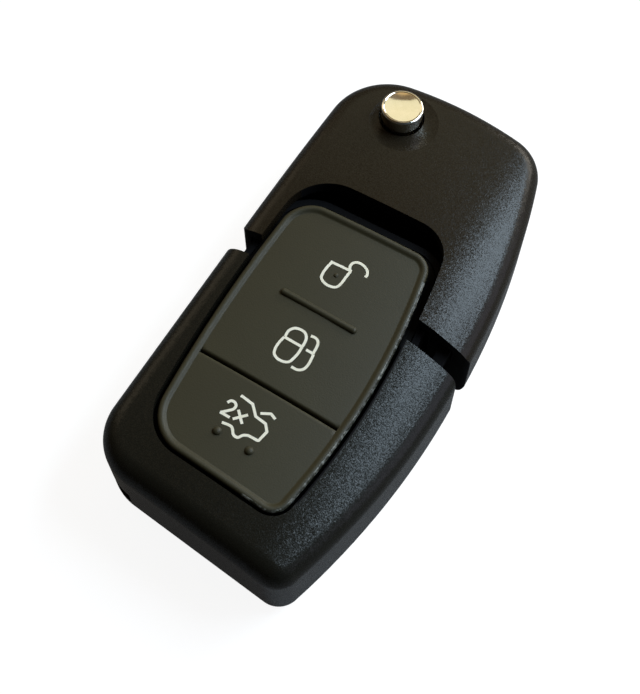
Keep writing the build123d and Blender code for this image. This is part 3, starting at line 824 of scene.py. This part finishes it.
def made_by(tree, places, runs, mark, kind, marks, values):
    """The plain mesh that a tree makes from places in millimetres and the runs between them."""
    start = bpy.data.meshes.new(tree.name + "_start")
    above = BODY_THICKNESS * MM + DROP_FROM
    start.from_pydata([(x * MM, y * MM, above) for x, y in places], runs, [])
    layer = start.attributes.new(mark, kind, "POINT")
    layer.data.foreach_set("vector" if kind == "FLOAT_VECTOR" else "value", marks)
    holder = bpy.data.objects.new(tree.name + "_start", start)
    bpy.context.scene.collection.objects.link(holder)
    maker = holder.modifiers.new("maker", "NODES")
    maker.node_group = tree
    inputs = [item for item in tree.interface.items_tree if item.in_out == "INPUT"]
    sockets = {item.name: item.identifier for item in inputs}
    for label, value in values.items():
        maker[sockets[label]] = value
    result = holder.evaluated_get(bpy.context.evaluated_depsgraph_get())
    made = bpy.data.meshes.new_from_object(result)
    holder.modifiers.clear()
    bpy.data.objects.remove(holder)
    return made


INKED_LINES = inked_line_maker()
RAISED_DOTS = raised_dot_maker()


def raised_dots(name, dots, body):
    """Dots given by place, radius and height, on the key of the same body."""
    places = [(x, y) for x, y, radius, height in dots]
    sizes = [size * MM for x, y, radius, height in dots for size in (radius, radius, height)]
    values = {"Key": KEYS[body], "Rubber": rubber}
    mesh = made_by(RAISED_DOTS, places, [], "dot_size", "FLOAT_VECTOR", sizes, values)
    return piece_with(name, mesh, rubber, body)


raised_dots("padlock_dot", [(-2.6, 2.7, 0.3, 0.16)], "unlock")
raised_dots("boot_key_dots", [(-3.95, -21.4, 0.55, 0.40), (0.5, -21.5, 0.55, 0.40)], "boot")

# Printed signs: an open padlock, a pair of padlocks, and a car with its boot lid up


def printed_sign(name, strokes, body):
    """Strokes given as (flows, points), inked on the key of the same body."""
    places, runs, flows = [], [], []
    for flowing, points in strokes:
        runs += [(len(places) + i, len(places) + i + 1) for i in range(len(points) - 1)]
        flows += [flowing] * len(points)
        places += points
    values = {"Key": KEYS[body], "Ink": ink}
    mesh = made_by(INKED_LINES, places, runs, "flows", "BOOLEAN", flows, values)
    return piece_with(name, mesh, ink, body, smooth_angle=25.0)


OPEN_PADLOCK = (
    (False, [(-4.12, 3.93), (-1.27, 4.13)]),
    (True, [
        (-3.95, 3.9), (-4.07, 3.15), (-4.12, 2.2), (-3.9, 1.45), (-3.2, 1.08),
        (-2.4, 1.08), (-1.75, 1.38), (-1.5, 2.1), (-1.46, 3.0), (-1.38, 4.1),
    ]),
    (True, [
        (-1.52, 4.15), (-1.77, 4.62), (-1.67, 5.2), (-1.17, 5.55),
        (-0.47, 5.55), (0.23, 5.25), (0.55, 4.75), (0.53, 4.3),
    ]),
)
PAIR_OF_PADLOCKS = (
    (False, [(-3.6, -7.4), (-1.2, -7.4)]),
    (True, [
        (-3.55, -7.3), (-3.6, -6.5), (-3.2, -5.85), (-2.5, -5.6),
        (-1.75, -5.7), (-1.3, -6.2), (-1.15, -6.9), (-1.15, -7.5),
    ]),
    (True, [
        (-3.6, -7.4), (-3.75, -8.2), (-3.75, -9.1), (-3.5, -9.8), (-2.9, -10.15),
        (-2.1, -10.15), (-1.45, -9.8), (-1.2, -9.0), (-1.1, -8.2), (-1.15, -7.4),
    ]),
    (True, [(-1.0, -5.65), (-0.35, -5.6), (0.15, -5.9), (0.35, -6.6), (0.4, -7.45)]),
    (False, [(-0.55, -7.45), (0.45, -7.45)]),
    (True, [
        (0.5, -7.5), (0.62, -8.3), (0.65, -9.1), (0.45, -9.75), (-0.1, -10.15), (-0.9, -10.2),
    ]),
)
BOOT_LID_UP = (
    (False, [
        (-3.95, -16.3), (-2.2, -16.5), (-1.1, -17.6), (0.35, -17.75),
        (1.0, -18.5), (0.75, -19.95), (-0.65, -20.0),
    ]),
    (True, [
        (-0.6, -20.0), (-1.1, -20.3), (-1.5, -20.85), (-2.1, -20.8),
        (-2.65, -20.2), (-3.15, -20.1), (-4.05, -20.25),
    ]),
    (False, [(-0.85, -17.0), (0.25, -16.4), (1.0, -16.7)]),
)
TWICE = (
    (True, [
        (-4.82, -17.87), (-4.57, -17.45), (-4.1, -17.4), (-3.75, -17.7),
        (-3.8, -18.2), (-4.35, -18.8), (-4.87, -19.3),
    ]),
    (False, [(-4.92, -19.28), (-3.6, -19.28)]),
    (False, [(-3.25, -17.95), (-1.95, -19.2)]),
    (False, [(-1.95, -17.9), (-3.2, -19.25)]),
)
printed_sign("open_padlock_sign", OPEN_PADLOCK, "unlock")
printed_sign("pair_of_padlocks_sign", PAIR_OF_PADLOCKS, "lock")
printed_sign("boot_lid_sign", BOOT_LID_UP, "boot")
printed_sign("press_twice_sign", TWICE, "boot")

# Floor

FLOOR_SHADE = (0.20, 0.20, 0.20, 1)
FLOOR_GLOW = {"Is Camera Ray": 0.91, "Is Transmission Ray": 0.91, "Is Glossy Ray": 0.06}
FLOOR_REACH = 3.0
FLOOR_DROP = 0.00002


def pale_floor():
    """A ground that is nearly white to the camera, glows a little in gloss and keeps shadows."""
    material = bpy.data.materials.new("pale_floor")
    material.use_nodes = True
    tree = material.node_tree
    tree.nodes.clear()
    rays = step_in(tree, "LightPath", {})
    strength = 0.0
    for ray, most in FLOOR_GLOW.items():
        share = worked(tree, "MULTIPLY", rays[ray], most)
        strength = worked(tree, "MAXIMUM", share, strength)
    ground = step_in(tree, "BsdfDiffuse", {"Color": FLOOR_SHADE})["BSDF"]
    glow = step_in(tree, "Emission", {"Color": (1, 1, 1, 1), "Strength": strength})["Emission"]
    both = step_in(tree, "AddShader", {0: ground, 1: glow})["Shader"]
    step_in(tree, "OutputMaterial", {"Surface": both})
    mesh = bpy.data.meshes.new("floor")
    corners = [
        (x * FLOOR_REACH, y * FLOOR_REACH, 0) for x, y in ((-1, -1), (1, -1), (1, 1), (-1, 1))
    ]
    mesh.from_pydata(corners, [], [(0, 1, 2, 3)])
    mesh.materials.append(material)
    floor = bpy.data.objects.new("floor", mesh)
    floor.location.z = -FLOOR_DROP
    bpy.context.scene.collection.objects.link(floor)


pale_floor()

# Light


def soft_lamp(name, towards, distance, width, depth, watts, colour, roll=0.0):
    """An area lamp that stands in this direction from the fob and faces it."""
    lamp = bpy.data.lights.new(name, "AREA")
    lamp.shape = "RECTANGLE"
    lamp.size = width
    lamp.size_y = depth
    lamp.energy = watts
    lamp.color = colour
    holder = bpy.data.objects.new(name, lamp)
    way = Vector(towards).normalized()
    holder.location = way * distance
    turned = way.to_track_quat("Z", "Y") @ Quaternion((0, 0, 1), math.radians(roll))
    holder.rotation_euler = turned.to_euler()
    bpy.context.scene.collection.objects.link(holder)


LAMPS = (
    ("window_light", (0.38, 0.52, 0.75), 0.7, 0.19, 0.42, 4.2, (0.68, 0.85, 1.0), 56),
    ("cream_wall_light", (-0.26, 0.735, 0.63), 0.7, 0.42, 0.30, 0.29, (1.0, 0.97, 0.68), 15),
    ("wooden_sill_light", (-0.15, 0.47, 0.87), 0.7, 0.36, 0.13, 0.080, (1.0, 0.66, 0.26), 15),
    ("nose_side_light", (0.30, 0.90, 0.30), 0.8, 0.5, 0.2, 2.4, (1.0, 0.94, 0.84)),
    ("right_side_light", (0.86, 0.40, 0.32), 0.8, 0.5, 0.5, 1.1, (0.80, 0.80, 1.0)),
    ("left_side_light", (-0.80, 0.30, 0.52), 0.8, 0.4, 0.4, 0.6, (1.0, 0.84, 0.60)),
)
for lamp_values in LAMPS:
    soft_lamp(*lamp_values)

# Brightness of the room from straight below (0) to straight above (1)
ROOM_BY_HEIGHT = ((0.0, 0.10), (0.30, 0.12), (0.65, 0.20), (0.82, 0.14), (0.93, 0.07), (1.0, 0.05))
WARM_SIDE, COOL_SIDE = (1.0, 0.72, 0.42, 1), (0.62, 0.80, 1.0, 1)
BACKDROP_SHADE = (0.96, 0.96, 0.96, 1)


def shaded_room():
    """A dim room, warmer on the left, cooler on the right and darker towards the viewer.

    The camera sees a pale backdrop in its place.
    """
    world = bpy.data.worlds.new("shaded_room")
    world.use_nodes = True
    tree = world.node_tree
    tree.nodes.clear()
    way = on_object(tree, "Generated")
    height = tree.nodes.new("ShaderNodeValToRGB")
    steps = height.color_ramp.elements
    for position, level in ROOM_BY_HEIGHT[1:-1]:
        steps.new(position)
    for step, (position, level) in zip(steps, ROOM_BY_HEIGHT):
        step.position = position
        step.color = (level, level, level, 1)
    tree.links.new(part_of(tree, way, "Z"), height.inputs["Fac"])
    across = spread_between(tree, part_of(tree, way, "X"), 0, 1, -0.2, 0.6)
    tint = mixed(tree, "RGBA", across, WARM_SIDE, COOL_SIDE)
    colour = mixed(tree, "RGBA", 1.0, height.outputs["Color"], tint, "MULTIPLY")
    strength = spread_between(tree, part_of(tree, way, "Y"), 0.25, 1.5, -0.6, 0.6)
    room = step_in(tree, "Background", {"Color": colour, "Strength": strength})["Background"]
    backdrop = step_in(tree, "Background", {"Color": BACKDROP_SHADE})["Background"]
    rays = step_in(tree, "LightPath", {})
    seen = worked(tree, "MAXIMUM", rays["Is Camera Ray"], rays["Is Transmission Ray"])
    whole = step_in(tree, "MixShader", {0: seen, 1: room, 2: backdrop})["Shader"]
    step_in(tree, "OutputWorld", {"Surface": whole})
    bpy.context.scene.world = world


shaded_room()

# Camera

VIEW_FORWARD = (-0.2031, 0.3302, -0.9219)
VIEW_RIGHT = (0.852, 0.524, 0.0)
VIEW_FROM = (0.03418, -0.06079, 0.1660)
FOCAL_PIXELS = 1400.0
PICTURE_HEIGHT = 694.0
SENSOR_HEIGHT = 36.0


def photograph_camera():
    camera = bpy.data.cameras.new("photograph_view")
    camera.sensor_fit = "VERTICAL"
    camera.sensor_height = SENSOR_HEIGHT
    camera.lens = SENSOR_HEIGHT * FOCAL_PIXELS / PICTURE_HEIGHT
    camera.clip_start = 0.005
    camera.clip_end = 20.0
    holder = bpy.data.objects.new("photograph_view", camera)
    forward = Vector(VIEW_FORWARD).normalized()
    right = Vector(VIEW_RIGHT).normalized()
    up = right.cross(forward)
    turn = holder.matrix_world.to_3x3()
    turn.col[0], turn.col[1], turn.col[2] = right, up, -forward
    holder.matrix_world = turn.to_4x4()
    holder.location = VIEW_FROM
    bpy.context.scene.collection.objects.link(holder)
    bpy.context.scene.camera = holder


photograph_camera()
bpy.context.scene.view_settings.view_transform = "Standard"
